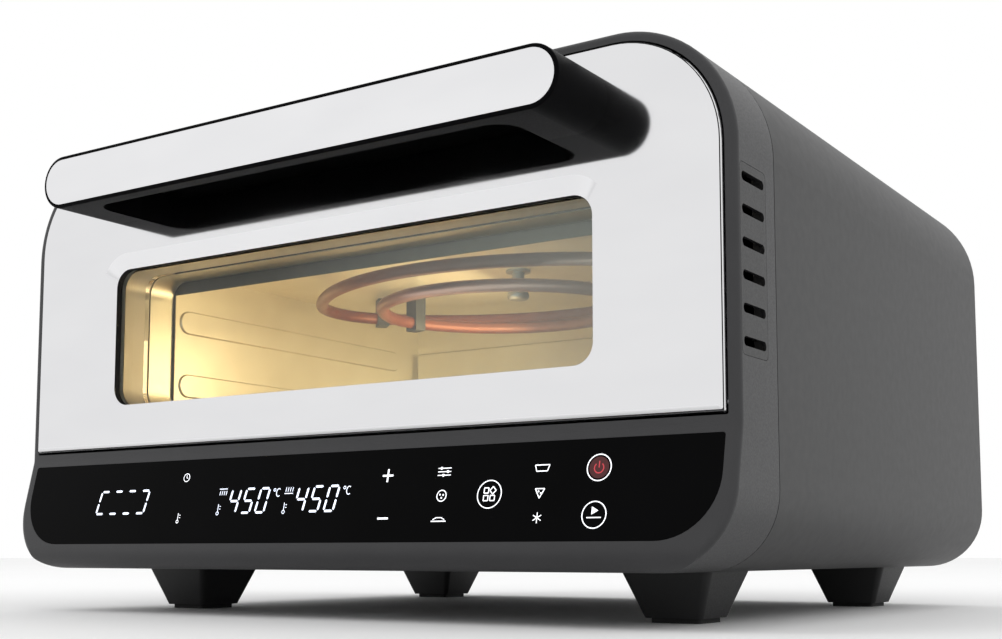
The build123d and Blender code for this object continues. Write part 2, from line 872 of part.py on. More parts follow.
with BuildPart() as lamp_glass:
    with BuildSketch(lamp_plane):
        with Locations(lamp_centre):
            Circle(lamp_r)
    extrude(amount=-4)
    fillet(lamp_glass.faces().sort_by(Axis.X)[0].edges(), 2)
save(lamp_glass.part, "lamp_glass")

# ================= Insulation and inner case =================

wool_back = cavity_back + liner_sheet
wool_length = wool_back - mouth_back
wool_middle = (wool_back + mouth_back) / 2
wall_out = cavity_half + liner_sheet + wool_gap
roof_out = cavity_high + liner_sheet + wool_gap
floor_out = cavity_low - liner_sheet - wool_gap

with BuildPart() as top_blanket:
    with BuildSketch(Plane.XY.offset(level(roof_out))):
        with Locations((0, depth(wool_middle))):
            Rectangle(2 * (wall_out + side_wool), wool_length)
        with Locations((probe_x, depth(ring_centre))):
            Circle(probe_r + wool_gap, mode=Mode.SUBTRACT)
    extrude(amount=top_wool)
save(top_blanket.part, "insulation_top")

with BuildPart() as side_blankets:
    for side in (-1, 1):
        with BuildSketch(Plane.YZ.offset(side * wall_out)):
            with Locations((depth(wool_middle), level((floor_out + roof_out) / 2))):
                Rectangle(wool_length, roof_out - floor_out - 2 * wool_gap)
        extrude(amount=side * side_wool)
    with BuildSketch(Plane.YZ.offset(wall_out)):
        with Locations(lamp_centre):
            Circle(lamp_r + lamp_rim + wool_gap)
    extrude(amount=side_wool, mode=Mode.SUBTRACT)
save(side_blankets.part, "insulation_sides")

with BuildPart() as floor_blanket:
    with BuildSketch(Plane.XY.offset(level(floor_out))):
        with Locations((0, depth(wool_middle))):
            Rectangle(2 * (wall_out + side_wool), wool_length)
    extrude(amount=-floor_wool)
save(floor_blanket.part, "insulation_floor")

with BuildPart() as rear_blanket:
    with BuildSketch(facing(wool_back + wool_gap)):
        with Locations((0, level((floor_out + roof_out) / 2))):
            Rectangle(2 * wall_out, roof_out - floor_out)
        for x, height, radius in leg_places:
            with Locations((x, level(height))):
                Circle(bush_r + wool_gap, mode=Mode.SUBTRACT)
    extrude(amount=-rear_wool)
save(rear_blanket.part, "insulation_rear")

case_back = wool_back + wool_gap + rear_wool + wool_gap
case_half = wall_out + side_wool + wool_gap + case_sheet
case_top = roof_out + top_wool + wool_gap + case_sheet
tray_level = floor_out - floor_wool - wool_gap

with BuildPart() as inner_case:
    with BuildSketch(facing(case_back)):
        rounded(case_half, floor_z + wrap_sheet, level(case_top), case_corner, 0)
        inner = case_corner - case_sheet
        rounded(case_half - case_sheet, floor_z, level(case_top) - case_sheet, inner, 0, mode=Mode.SUBTRACT)
        with Locations((0, level(tray_level) - case_sheet / 2)):
            Rectangle(2 * case_half, case_sheet)
    extrude(amount=case_back - case_front)
save(inner_case.part, "inner_case")

# ================= Fan =================

fan_back = rear_plate_y - plate_sheet

with BuildPart() as fan_frame:
    with BuildSketch(Plane.XZ.offset(-fan_back + fit)):
        with Locations((fan_x, level(fan_level))):
            RectangleRounded(fan_size, fan_size, fan_corner)
            Circle(fan_bore_r, mode=Mode.SUBTRACT)
            with GridLocations(fan_size - 2 * fan_screw_inset, fan_size - 2 * fan_screw_inset, 2, 2):
                Circle(fan_screw_r, mode=Mode.SUBTRACT)
    extrude(amount=fan_thick)
save(fan_frame.part, "fan_frame")

with BuildPart() as fan_motor:
    with BuildSketch(Plane.XZ.offset(-fan_back + fit)):
        with Locations((fan_x, level(fan_level))):
            Circle(fan_hub_r - 2)
            # Three spokes carry the motor in the rear of the frame.
            with PolarLocations((fan_hub_r - 4 + fan_bore_r) / 2, 3, start_angle=30):
                Rectangle(fan_bore_r - fan_hub_r + 3.8, spoke_width)
            with Locations((0, 0)):
                Circle(fan_bore_r - 0.02, mode=Mode.INTERSECT)
    extrude(amount=spoke_thick)
    with BuildSketch(Plane.XZ.offset(-fan_back + fit + spoke_thick)):
        with Locations((fan_x, level(fan_level))):
            Circle(fan_shaft_r)
    extrude(amount=fan_thick - 2 * spoke_thick)
save(fan_motor.part, "fan_motor")

hub_start = fit + spoke_thick + 1
hub_length = fan_thick - 2 * spoke_thick

with BuildPart() as impeller:
    with BuildSketch(Plane.XZ.offset(-fan_back + hub_start)):
        with Locations((fan_x, level(fan_level))):
            Circle(fan_hub_r)
    extrude(amount=hub_length)
    # Blades are flat plates set at an angle to the shaft.
    for index in range(blade_count):
        turn = 360 / blade_count * index
        blade_plane = Plane(
            origin=(fan_x, fan_back - hub_start - hub_length / 2, level(fan_level)),
            x_dir=(cos(radians(turn)), 0, sin(radians(turn))),
            z_dir=(
                -sin(radians(turn)) * sin(radians(blade_twist)),
                -cos(radians(blade_twist)),
                cos(radians(turn)) * sin(radians(blade_twist)),
            ),
        )
        with BuildSketch(blade_plane):
            with Locations(((fan_hub_r + fan_tip_r) / 2 - 0.5, 0)):
                Rectangle(fan_tip_r - fan_hub_r, blade_width)
        extrude(amount=blade_sheet / 2, both=True)
    with BuildSketch(Plane.XZ.offset(-fan_back + hub_start - 1)):
        with Locations((fan_x, level(fan_level))):
            Circle(fan_shaft_r + pin_clearance)
    extrude(amount=hub_length + 1, mode=Mode.SUBTRACT)
save(impeller.part, "fan_impeller")

# ================= Rear fittings =================

rear_screw_places = [
    (side * (half_width - rear_screw_inset), height)
    for side in (-1, 1)
    for height in (rear_screw_low, body_height - rear_screw_drop)
]
rear_screw_places += [(0, body_height - 14), (-60, 12), (60, 12)]

with BuildPart() as rear_screws:
    with BuildSketch(Plane.XZ.offset(-rear_plate_y)):
        for x, height in rear_screw_places:
            with Locations((x, level(height))):
                Circle(screw_head_r)
    extrude(amount=-(rear_inset - 0.3))
    fillet(rear_screws.faces().filter_by(Axis.Y).group_by(Axis.Y)[-1].edges(), 1.2)
    with BuildSketch(Plane.XZ.offset(-rear_plate_y)):
        for x, height in rear_screw_places:
            with Locations((x, level(height))):
                SlotOverall(4.4, 1.2)
    extrude(amount=-rear_inset, mode=Mode.SUBTRACT)
save(rear_screws.part, "rear_panel_screws")

inlet_plane = Plane.XZ.offset(-(rear_plate_y + inlet_proud))

with BuildPart() as inlet:
    with BuildSketch(inlet_plane):
        with Locations((inlet_x, level(inlet_level))):
            Rectangle(inlet_width, inlet_height)
    extrude(amount=inlet_depth)
    with BuildSketch(inlet_plane):
        with Locations((inlet_x, level(inlet_level))):
            RectangleRounded(inlet_width + 2 * inlet_flange, inlet_height + 2 * inlet_flange, inlet_corner)
    extrude(amount=inlet_proud)
    with BuildSketch(inlet_plane):
        with Locations((inlet_x, level(inlet_level))):
            RectangleRounded(inlet_width - 2 * inlet_wall, inlet_height - 2 * inlet_wall, inlet_corner)
    extrude(amount=inlet_recess, mode=Mode.SUBTRACT)
save(inlet.part, "mains_inlet")

with BuildPart() as inlet_pins:
    with BuildSketch(inlet_plane.offset(inlet_recess)):
        for x, height in inlet_pin_places:
            with Locations((inlet_x + x, level(inlet_level + height))):
                Rectangle(2, 4)
    extrude(amount=-inlet_pin_length)
save(inlet_pins.part, "inlet_pins")

# ================= Door =================

door_face_y = -door_proud

with BuildPart() as door_skin:
    with BuildSketch(facing(door_face_y)):
        rounded(door_half, level(door_bottom), level(door_top), door_corner, 1.0)
    extrude(amount=-skin_depth)
    outer_edges = door_skin.faces().filter_by(Axis.Y).sort_by(Axis.Y)[0].edges()
    bottom_edge = outer_edges.sort_by(Axis.Z)[0]
    fillet(bottom_edge, hinge_edge_round)
    with BuildSketch(facing(door_face_y + skin_sheet)):
        rounded(
            door_half - skin_sheet,
            level(door_bottom + skin_sheet),
            level(door_top - skin_sheet),
            door_corner - skin_sheet,
            0.5,
        )
    extrude(amount=-skin_depth, mode=Mode.SUBTRACT)
    # Sloping bevel around the window.
    with BuildSketch(facing(door_face_y)):
        window(bevel_width + skin_sheet)
    with BuildSketch(facing(door_face_y + bevel_depth)):
        window(skin_sheet)
    loft()
    with BuildSketch(facing(door_face_y - 0.01)):
        window(bevel_width)
    with BuildSketch(facing(door_face_y + bevel_depth + 0.01)):
        window(0)
    loft(mode=Mode.SUBTRACT)
    # Holes for the handle screws.
    with BuildSketch(facing(door_face_y)):
        for side in (-1, 1):
            with Locations((side * handle_screw_x, level(handle_mid))):
                Circle(screw_r + fit)
    extrude(amount=-2 * skin_sheet, mode=Mode.SUBTRACT)
    # Pin holes through both side returns.
    with BuildSketch(Plane.YZ):
        with Locations((hinge_y, hinge_z)):
            Circle(hinge_pin_r + pin_clearance)
    extrude(amount=half_width, both=True, mode=Mode.SUBTRACT)
save(door_skin.part, "door_skin")

gasket_y = door_face_y + bevel_depth
glass_y = gasket_y + gasket_depth

with BuildPart() as window_gasket:
    with BuildSketch(facing(glass_y)):
        window(glass_lap)
        window(0, mode=Mode.SUBTRACT)
    extrude(amount=gasket_depth)
save(window_gasket.part, "window_gasket")

with BuildPart() as outer_glass:
    with BuildSketch(facing(glass_y)):
        window(glass_lap)
    extrude(amount=-glass_thick)
save(outer_glass.part, "outer_glass")

liner_front = glass_y + glass_thick
inner_glass_y = door_depth - liner_sheet - glass_thick
liner_half = door_half - liner_inset
liner_low = door_bottom + liner_inset + 2.5
liner_high = door_top - liner_inset
liner_corner = door_corner - liner_inset

with BuildPart() as door_liner:
    with BuildSketch(facing(door_depth)):
        rounded(liner_half, level(liner_low), level(liner_high), liner_corner, 3)
    extrude(amount=door_depth - skin_depth)
    with BuildSketch(facing(door_depth - liner_sheet)):
        rounded(
            liner_half - liner_sheet,
            level(liner_low + liner_sheet),
            level(liner_high - liner_sheet),
            liner_corner - liner_sheet,
            2.2,
        )
    extrude(amount=door_depth, mode=Mode.SUBTRACT)
    # Tunnel between the two panes.
    with BuildSketch(facing(door_depth)):
        window(liner_sheet)
    extrude(amount=door_depth - liner_front)
    with BuildSketch(facing(door_depth)):
        window(0)
    extrude(amount=door_depth, mode=Mode.SUBTRACT)
    # Slots that let the hinge arms out of the back.
    with BuildSketch(facing(door_depth + 1)):
        for side in (-1, 1):
            with Locations((side * arm_x, hinge_z + arm_outer * 0.72)):
                RectangleRounded(arm_thick + 1.2, arm_outer * 0.8, 1)
    extrude(amount=liner_sheet + 1.5, mode=Mode.SUBTRACT)
save(door_liner.part, "door_liner")

with BuildPart() as inner_glass:
    with BuildSketch(facing(inner_glass_y + glass_thick)):
        window(-fit)
    extrude(amount=glass_thick)
save(inner_glass.part, "inner_glass")

with BuildPart() as door_wool:
    with BuildSketch(facing(door_depth - liner_sheet - wool_gap)):
        margin = liner_sheet + wool_gap
        rounded(
            liner_half - margin - 16,
            level(liner_low + margin + 12),
            level(liner_high - margin),
            liner_corner,
            4,
        )
        window(liner_sheet + wool_gap, mode=Mode.SUBTRACT)
    extrude(amount=door_depth - liner_sheet - liner_front - 2 * wool_gap)
save(door_wool.part, "door_insulation")

seal_thick = mouth_plate - door_depth - 0.4

with BuildPart() as door_seal:
    with BuildSketch(facing(door_depth + seal_thick)):
        window(seal_gap + seal_width)
        window(seal_gap, mode=Mode.SUBTRACT)
    extrude(amount=seal_thick)
save(door_seal.part, "door_seal")

with BuildPart() as handle_body:
    with BuildSketch(facing(door_face_y)):
        with Locations((0, level(handle_mid))):
            SlotOverall(2 * handle_half, handle_high - handle_low)
    extrude(amount=handle_reach - door_proud)
    fillet(handle_body.faces().sort_by(Axis.Y)[0].edges(), handle_edge)
    # Finger pocket, open below and towards the door.
    with BuildSketch(Plane.XY.offset(level(handle_low))):
        with BuildLine():
            FilletPolyline(
                (-pocket_half, depth(door_face_y) + 1),
                (-pocket_half, depth(pocket_lip - handle_reach)),
                (pocket_half, depth(pocket_lip - handle_reach)),
                (pocket_half, depth(door_face_y) + 1),
                radius=[0, pocket_corner, pocket_corner, 0],
                close=True,
            )
        make_face()
    extrude(amount=pocket_rise, mode=Mode.SUBTRACT)
    # Seat for the face plate.
    with BuildSketch(facing(-handle_reach)):
        with Locations((0, level(handle_mid))):
            SlotOverall(2 * (handle_half - face_rim), handle_high - handle_low - 2 * face_rim)
    extrude(amount=-face_thick, mode=Mode.SUBTRACT)
    with BuildSketch(facing(door_face_y)):
        for side in (-1, 1):
            with Locations((side * handle_screw_x, level(handle_mid))):
                Circle(screw_r)
    extrude(amount=14, mode=Mode.SUBTRACT)
save(handle_body.part, "handle_body")

with BuildPart() as handle_face:
    with BuildSketch(facing(-handle_reach)):
        with Locations((0, level(handle_mid))):
            SlotOverall(2 * (handle_half - face_rim - 0.15), handle_high - handle_low - 2 * face_rim - 0.3)
    extrude(amount=-face_thick)
    fillet(handle_face.faces().sort_by(Axis.Y)[0].edges(), 0.4)
save(handle_face.part, "handle_face")

with BuildPart() as handle_screws:
    for side in (-1, 1):
        with BuildSketch(facing(door_face_y + skin_sheet)):
            with Locations((side * handle_screw_x, level(handle_mid))):
                Circle(screw_r)
        extrude(amount=12)
        with BuildSketch(facing(door_face_y + skin_sheet)):
            with Locations((side * handle_screw_x, level(handle_mid))):
                Circle(screw_head_r)
        extrude(amount=-screw_head_thick)
save(handle_screws.part, "handle_screws")

# ================= Hinge =================


def ray(angle):
    """Point well outside the arm, in that direction from the hinge axis."""
    reach = 3 * arm_outer
    return (hinge_y + reach * cos(radians(angle)), hinge_z + reach * sin(radians(angle)))


pin_outer = half_width - edge_round
pin_inner = door_half - 14

with BuildPart() as hinge_pins:
    for side in (-1, 1):
        with BuildSketch(Plane.YZ.offset(side * pin_outer)):
            with Locations((hinge_y, hinge_z)):
                Circle(hinge_pin_r)
        extrude(amount=-side * (pin_outer - pin_inner))
save(hinge_pins.part, "hinge_pins")

block_front = depth(door_face_y + skin_sheet + fit)
block_back = depth(skin_depth - door_proud - 0.4)
block_low = level(door_bottom + skin_sheet + fit)
block_high = level(door_bottom + block_height)
block_side = door_half - skin_sheet - 0.3
arm_door_y = depth(door_depth - liner_sheet - 0.4)

for side, name in ((-1, "hinge_arm_left"), (1, "hinge_arm_right")):
    with BuildPart() as arm:
        # Block in the door's lower corner, bored for the pin.
        with BuildSketch(Plane.YZ.offset(side * block_side)):
            with BuildLine():
                Polyline(
                    (block_front, block_low + 1.6),
                    (block_front + 1.6, block_low),
                    (block_back, block_low),
                    (block_back, block_high),
                    (block_front, block_high),
                    close=True,
                )
            make_face()
            with Locations((hinge_y, hinge_z)):
                Circle(hinge_pin_r + pin_clearance, mode=Mode.SUBTRACT)
        extrude(amount=-side * block_width)
        # Curved arm around the hinge axis, running back into the body.
        with BuildSketch(Plane.YZ.offset(side * (arm_x - arm_thick / 2))):
            with Locations((hinge_y, hinge_z)):
                Circle(arm_outer)
                Circle(arm_inner, mode=Mode.SUBTRACT)
            with BuildLine():
                Polyline(
                    (hinge_y, hinge_z),
                    ray(arm_low_angle),
                    ray((arm_low_angle + arm_top_angle) / 2),
                    ray(arm_top_angle),
                    close=True,
                )
            make_face(mode=Mode.INTERSECT)
            # Web from the block to the arm, inside the door.
            with BuildLine():
                Polyline(
                    (block_back - 1, block_high - 22),
                    (arm_door_y, block_high - 12),
                    (arm_door_y, block_high + 4),
                    (block_back - 1, block_high),
                    close=True,
                )
            make_face()
        extrude(amount=side * arm_thick)
    save(arm.part, name)
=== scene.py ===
import json
import math

import bmesh
import bpy
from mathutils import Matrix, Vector


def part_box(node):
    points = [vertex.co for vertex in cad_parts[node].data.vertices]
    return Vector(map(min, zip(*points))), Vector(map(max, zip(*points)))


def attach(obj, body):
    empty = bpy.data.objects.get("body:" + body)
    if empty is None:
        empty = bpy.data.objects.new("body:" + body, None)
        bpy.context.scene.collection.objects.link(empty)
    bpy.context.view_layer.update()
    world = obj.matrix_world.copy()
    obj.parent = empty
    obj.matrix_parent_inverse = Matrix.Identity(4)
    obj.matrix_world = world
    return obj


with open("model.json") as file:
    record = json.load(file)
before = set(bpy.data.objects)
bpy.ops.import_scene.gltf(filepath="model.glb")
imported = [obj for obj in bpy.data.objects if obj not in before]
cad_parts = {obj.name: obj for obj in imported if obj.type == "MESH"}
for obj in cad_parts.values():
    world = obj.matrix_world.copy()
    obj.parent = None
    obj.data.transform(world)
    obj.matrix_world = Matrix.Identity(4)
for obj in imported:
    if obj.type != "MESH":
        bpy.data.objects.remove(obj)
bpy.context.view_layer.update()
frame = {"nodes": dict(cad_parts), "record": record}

MM = 0.001

# How far a pattern is drawn out along X, Y and Z.
EVEN = (1, 1, 1)
ROLLED_ALONG_X = (18, 1, 1)

# Heat colours and the glass's painted reflection change between these two places along X, in metres.
WARM_SIDE = -0.06
COOL_SIDE = 0.13


# ---- Small tools for materials ----


def hex_colour(code):
    """Linear RGBA of an sRGB hex colour."""
    parts = [int(code[i : i + 2], 16) / 255 for i in (1, 3, 5)]
    return [c / 12.92 if c <= 0.04045 else ((c + 0.055) / 1.055) ** 2.4 for c in parts] + [1.0]


def add(tree, kind, inputs=(), **settings):
    """One shader node with its settings, its socket values and the sockets that feed it."""
    node = tree.nodes.new("ShaderNode" + kind)
    for name, value in settings.items():
        setattr(node, name, value)
    for name, value in dict(inputs).items():
        if isinstance(value, bpy.types.NodeSocket):
            tree.links.new(value, node.inputs[name])
        else:
            node.inputs[name].default_value = value
    return node


class Finish:
    """A maker's finish: one shader, with patterns laid over it in the object's own coordinates."""

    def __init__(self, name, colour, sockets):
        self.material = bpy.data.materials.new(name)
        self.material.use_nodes = True
        self.tree = self.material.node_tree
        self.tree.nodes.clear()
        self.shader = add(self.tree, "BsdfPrincipled", {"Base Color": hex_colour(colour), **sockets})
        add(self.tree, "OutputMaterial", {"Surface": self.shader.outputs[0]})
        self.place = add(self.tree, "TexCoord").outputs["Object"]

    def pattern(self, grain_mm, stretch=EVEN, detail=2.0):
        """Cloudy pattern whose grains are grain_mm across, stretched along each axis."""
        scale = [1 / (grain_mm * MM * s) for s in stretch]
        laid = add(self.tree, "Mapping", {"Vector": self.place, "Scale": scale})
        noise = add(self.tree, "TexNoise", {"Vector": laid.outputs[0], "Scale": 1.0, "Detail": detail})
        return noise.outputs[0]

    def fade(self, axis, start, end, low=0.0, high=1.0):
        """Value that runs from low to high between two places along an axis, in metres."""
        side = add(self.tree, "SeparateXYZ", {0: self.place}).outputs[axis]
        return add(self.tree, "MapRange", {0: side, 1: start, 2: end, 3: low, 4: high}).outputs[0]

    def tint(self, factor, dark, light):
        """Colour that wanders between two shades."""
        shades = {0: factor, 6: hex_colour(dark), 7: hex_colour(light)}
        mix = add(self.tree, "Mix", shades, data_type="RGBA")
        self.tree.links.new(mix.outputs[2], self.shader.inputs["Base Color"])
        return mix.outputs[2]

    def roughen(self, factor, low, high):
        """Roughness that wanders between two values."""
        span = add(self.tree, "MapRange", {0: factor, 1: 0.3, 2: 0.7, 3: low, 4: high})
        self.tree.links.new(span.outputs[0], self.shader.inputs["Roughness"])

    def relief(self, factor, depth_mm):
        """Surface relief of that depth."""
        bump = add(self.tree, "Bump", {"Height": factor, "Distance": depth_mm * MM})
        self.tree.links.new(bump.outputs[0], self.shader.inputs["Normal"])


# ---- Finishes ----


def moulded(name, dark, light, roughness, grain_mm=0.9, depth_mm=0.03, ior=1.5):
    """Injection-moulded ABS or polypropylene: a fine spark-eroded grain that scatters the highlight.
    The real grain is about 0.3 mm; it is drawn coarser so that it shows."""
    finish = Finish(name, light, {"IOR": ior, "Roughness": roughness})
    grain = finish.pattern(grain_mm)
    finish.tint(finish.pattern(14.0), dark, light)
    finish.roughen(grain, roughness - 0.05, roughness + 0.07)
    finish.relief(grain, depth_mm)
    return finish.material


def powder_coat(name, dark, light, roughness, peel_mm=1.6, depth_mm=0.05):
    """Powder-coated sheet steel: satin, with a shallow orange peel left as the powder flows."""
    finish = Finish(name, light, {"IOR": 1.5, "Roughness": roughness})
    peel = finish.pattern(peel_mm, detail=3.0)
    finish.tint(finish.pattern(30.0), dark, light)
    finish.roughen(finish.pattern(6.0), roughness - 0.015, roughness + 0.02)
    finish.relief(peel, depth_mm)
    return finish.material


def polished_steel(name, dark, light, roughness):
    """Mirror-polished stainless steel: sharp reflections, softened a little by wiping haze."""
    finish = Finish(name, light, {"Metallic": 1.0, "Roughness": roughness})
    haze = finish.pattern(26.0, stretch=(3, 1, 1))
    finish.tint(haze, dark, light)
    finish.roughen(haze, roughness - 0.015, roughness + 0.02)
    return finish.material


def rolled_steel(name, dark, light, roughness, metallic=1.0, along=ROLLED_ALONG_X):
    """Bare metal: cold-rolled sheet has fine lines about 0.8 mm apart along the rolling direction,
    and a turned or stamped piece has an even grain of that size."""
    finish = Finish(name, light, {"Metallic": metallic, "Roughness": roughness})
    lines = finish.pattern(0.8, stretch=along)
    finish.tint(finish.pattern(22.0), dark, light)
    finish.roughen(lines, roughness - 0.06, roughness + 0.08)
    finish.relief(lines, 0.012)
    return finish.material


def shaded_brown_steel(piece_box):
    """Bright sheet steel, dark brown along its top edge and towards the left and paler grey to the right:
    painted shade.
    """
    top = piece_box[1].z
    finish = Finish("shaded_brown_steel", "#3a2a14", {"Metallic": 0.2, "Roughness": 0.5})
    # Painted shade: the colour darkens towards the top edge and towards the left.
    down = finish.fade("Z", top - 3 * MM, top - 11 * MM, 0.0, 0.25)
    right = finish.fade("X", -0.08, 0.12, 0.0, 0.6)
    shade = add(finish.tree, "Math", {0: down, 1: right}, operation="ADD").outputs[0]
    finish.tint(shade, "#1d1206", "#7d7f76")
    finish.relief(finish.pattern(0.8, stretch=ROLLED_ALONG_X), 0.012)
    return finish.material


def heat_tinted_tube():
    """Heating element sheath: nickel alloy, oxidised red-brown where it runs hot, grey-violet elsewhere, and
    given a faint painted glow in the same colours.
    """
    sockets = {"Metallic": 0.35, "Roughness": 0.36, "Emission Strength": 0.03}
    finish = Finish("heat_tinted_tube", "#9c5a45", sockets)
    finish.roughen(finish.pattern(3.0), 0.3, 0.42)
    colour = finish.tint(finish.fade("X", WARM_SIDE, COOL_SIDE), "#74402e", "#8a7c78")
    finish.relief(finish.pattern(0.7), 0.02)
    # Painted light: the tube glows faintly in its own colours, though it is no lamp.
    finish.tree.links.new(colour, finish.shader.inputs["Emission Color"])
    return finish.material


def ceramic_body(name, dark, light, grain_mm):
    """Fired, unglazed ceramic: dry and matt, with open pores."""
    finish = Finish(name, light, {"IOR": 1.55, "Roughness": 0.85})
    pores = finish.pattern(grain_mm, detail=4.0)
    finish.tint(pores, dark, light)
    finish.relief(pores, 0.12)
    return finish.material


def fibre_blanket():
    """Ceramic fibre blanket: needled wool with matted strands a few millimetres long."""
    finish = Finish("fibre_blanket", "#e4e0d2", {"IOR": 1.4, "Roughness": 1.0})
    strands = finish.pattern(2.4, stretch=(3, 3, 1), detail=5.0)
    finish.tint(strands, "#bdb8a6", "#ece8db")
    finish.relief(strands, 0.8)
    return finish.material


def woven_seal():
    """Woven glass-fibre door seal: a plain weave, whose yarns repeat every 0.943 mm."""
    yarn_pitch = 0.943 * MM
    finish = Finish("woven_seal", "#8b877c", {"IOR": 1.45, "Roughness": 0.9})
    yarn = {"Vector": finish.place, "Scale": math.pi / (10 * yarn_pitch)}
    across = add(finish.tree, "TexWave", yarn, bands_direction="X").outputs["Fac"]
    along = add(finish.tree, "TexWave", yarn, bands_direction="Z").outputs["Fac"]
    weave = add(finish.tree, "Math", {0: across, 1: along}, operation="MULTIPLY").outputs[0]
    finish.tint(weave, "#5c584f", "#a39f92")
    finish.relief(weave, 0.35)
    return finish.material


def clear_glass(name, colour):
    """Toughened float glass: clear, slightly green, with a clear coat that grows towards the right as a
    painted reflection.
    """
    sockets = {
        "IOR": 1.2,
        "Roughness": 0.0,
        "Transmission Weight": 1.0,
        "Coat Roughness": 0.03,
        "Coat IOR": 1.7,
        "Coat Tint": hex_colour("#f8faf8"),
    }
    finish = Finish(name, colour, sockets)
    # Painted reflection: the coat's weight, and so the glass's sheen, rises towards the right.
    coat = finish.fade("X", WARM_SIDE, COOL_SIDE, 0.0, 0.5)
    finish.tree.links.new(coat, finish.shader.inputs["Coat Weight"])
    finish.relief(finish.pattern(60.0), 0.01)
    return finish.material


def frosted_glass(name, colour, glow):
    """Heat-resisting lamp glass, frosted inside, glowing while the lamp is on."""
    sockets = {
        "IOR": 1.5,
        "Roughness": 0.35,
        "Transmission Weight": 0.4,
        "Emission Color": hex_colour(colour),
        "Emission Strength": glow,
    }
    finish = Finish(name, colour, sockets)
    finish.relief(finish.pattern(1.2), 0.03)
    return finish.material


def printed_glass():
    """Control panel: float glass printed black behind, so that only its face shines."""
    sockets = {"IOR": 1.5, "Roughness": 0.06, "Specular IOR Level": 0.03}
    finish = Finish("printed_black_glass", "#040405", sockets)
    finish.tint(finish.pattern(40.0), "#030303", "#060607")
    finish.roughen(finish.pattern(18.0), 0.05, 0.08)
    return finish.material


def moulded_rubber(name, dark, light):
    """Silicone rubber: matt, with a dusty bloom."""
    finish = Finish(name, light, {"IOR": 1.43, "Roughness": 0.72})
    bloom = finish.pattern(1.1, detail=3.0)
    finish.tint(bloom, dark, light)
    finish.relief(bloom, 0.05)
    return finish.material


def circuit_board():
    """Glass-epoxy board under green solder resist, with its copper tracks just visible."""
    finish = Finish("circuit_board", "#14533a", {"IOR": 1.5, "Roughness": 0.35})
    layout = {
        "Vector": finish.place,
        "Scale": 60.0,
        "Color1": hex_colour("#14533a"),
        "Color2": hex_colour("#185e41"),
        "Mortar": hex_colour("#2f7a4e"),
        "Mortar Size": 0.03,
    }
    tracks = add(finish.tree, "TexBrick", layout)
    finish.tree.links.new(tracks.outputs["Color"], finish.shader.inputs["Base Color"])
    finish.relief(tracks.outputs["Fac"], 0.05)
    return finish.material


def lit_print(name, colour, glow):
    """Printed mark lit evenly from behind by its own diode, so one plain colour without shading."""
    lit = {"IOR": 1.5, "Roughness": 0.5, "Emission Color": hex_colour(colour), "Emission Strength": glow}
    return Finish(name, colour, lit).material


finishes = {
    "frame_plastic": moulded("moulded_grey_abs", "#202022", "#262628", 0.42),
    "rail_plastic": moulded("moulded_black_abs", "#121213", "#18181a", 0.42),
    "wrap_paint": powder_coat("anthracite_powder_coat", "#1d1d1e", "#1f1f20", 0.48, 1.2, 0.02),
    "base_paint": powder_coat("black_texture_coat", "#0d0d0e", "#131314", 0.7, 1.1, 0.12),
    "rear_paint": powder_coat("black_satin_coat", "#1d1d1e", "#232325", 0.5),
    "foot_plastic": moulded("moulded_black_foot", "#0e0e0f", "#141415", 0.5),
    "foot_rubber": moulded_rubber("black_foot_rubber", "#080808", "#101010"),
    "panel_glass": printed_glass(),
    "display": moulded("display_housing", "#101015", "#16161c", 0.3),
    "board": circuit_board(),
    "door_steel": polished_steel("mirror_polished_door", "#dedee0", "#e6e6e7", 0.07),
    "liner_steel": rolled_steel("bright_liner_steel", "#cfc4ae", "#dfd5c0", 0.5, metallic=0.4),
    "cavity_steel": rolled_steel("bright_cavity_steel", "#dcd6c4", "#e9e4d5", 0.38, metallic=0.6),
    "case_steel": rolled_steel("galvanised_steel", "#9b9ea1", "#b4b7b9", 0.45),
    "lip_steel": shaded_brown_steel(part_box("mouth_lip")),
    "hinge_steel": rolled_steel("zinc_plated_steel", "#8d8e90", "#a5a6a8", 0.38),
    "glass": clear_glass("clear_toughened_glass", "#fafcf9"),
    "gasket": moulded_rubber("black_silicone_gasket", "#0a0a0a", "#141414"),
    "seal": woven_seal(),
    "wool": fibre_blanket(),
    "handle_plastic": moulded("moulded_black_handle", "#070708", "#0b0b0c", 0.36, depth_mm=0.015, ior=1.07),
    "handle_face": polished_steel("polished_handle_plate", "#e2e2e4", "#eeeeef", 0.1),
    "screw_steel": rolled_steel("blackened_screw_steel", "#4a4b4d", "#5f6062", 0.4, along=EVEN),
    "heater": heat_tinted_tube(),
    "ceramic": ceramic_body("steatite", "#cfcabc", "#e6e2d6", 1.5),
    "stone": ceramic_body("cordierite", "#a98f6f", "#cdb491", 2.2),
    "lamp_glass": frosted_glass("frosted_lamp_glass", "#fff0d2", 0.8),
    "lamp_bulb": frosted_glass("lit_lamp_bulb", "#ffdf9e", 6.0),
    "fan_plastic": moulded("moulded_black_fan", "#0b0b0c", "#131314", 0.45),
    "inlet_plastic": moulded("moulded_black_inlet", "#0d0d0e", "#151516", 0.4),
    "brass": rolled_steel("plated_brass", "#b3985a", "#c9ad6c", 0.3, along=EVEN),
}

for subpart in frame["record"]["subparts"]:
    for socket in frame["nodes"][subpart["node"]].material_slots:
        socket.material = finishes[subpart["material_slot"]]


# ---- Marks on the control panel ----


def panel_axes():
    """Top middle of the panel's outer face, and its unit vectors to the right, up the slope and outwards."""
    mesh = frame["nodes"]["control_panel_glass"].data
    out = max(mesh.polygons, key=lambda face: -face.normal.y * face.area).normal.copy()
    reach = max(vertex.co.dot(out) for vertex in mesh.vertices)
    top = max((v.co for v in mesh.vertices if v.co.dot(out) > reach - 0.1 * MM), key=lambda co: co.z)
    right = Vector((1, 0, 0))
    return Vector((0, top.y, top.z)), right, out.cross(right), out


panel_top, panel_right, panel_up, panel_out = panel_axes()

MARK_LIFT = 0.03 * MM
MARK_THICK = 0.06 * MM


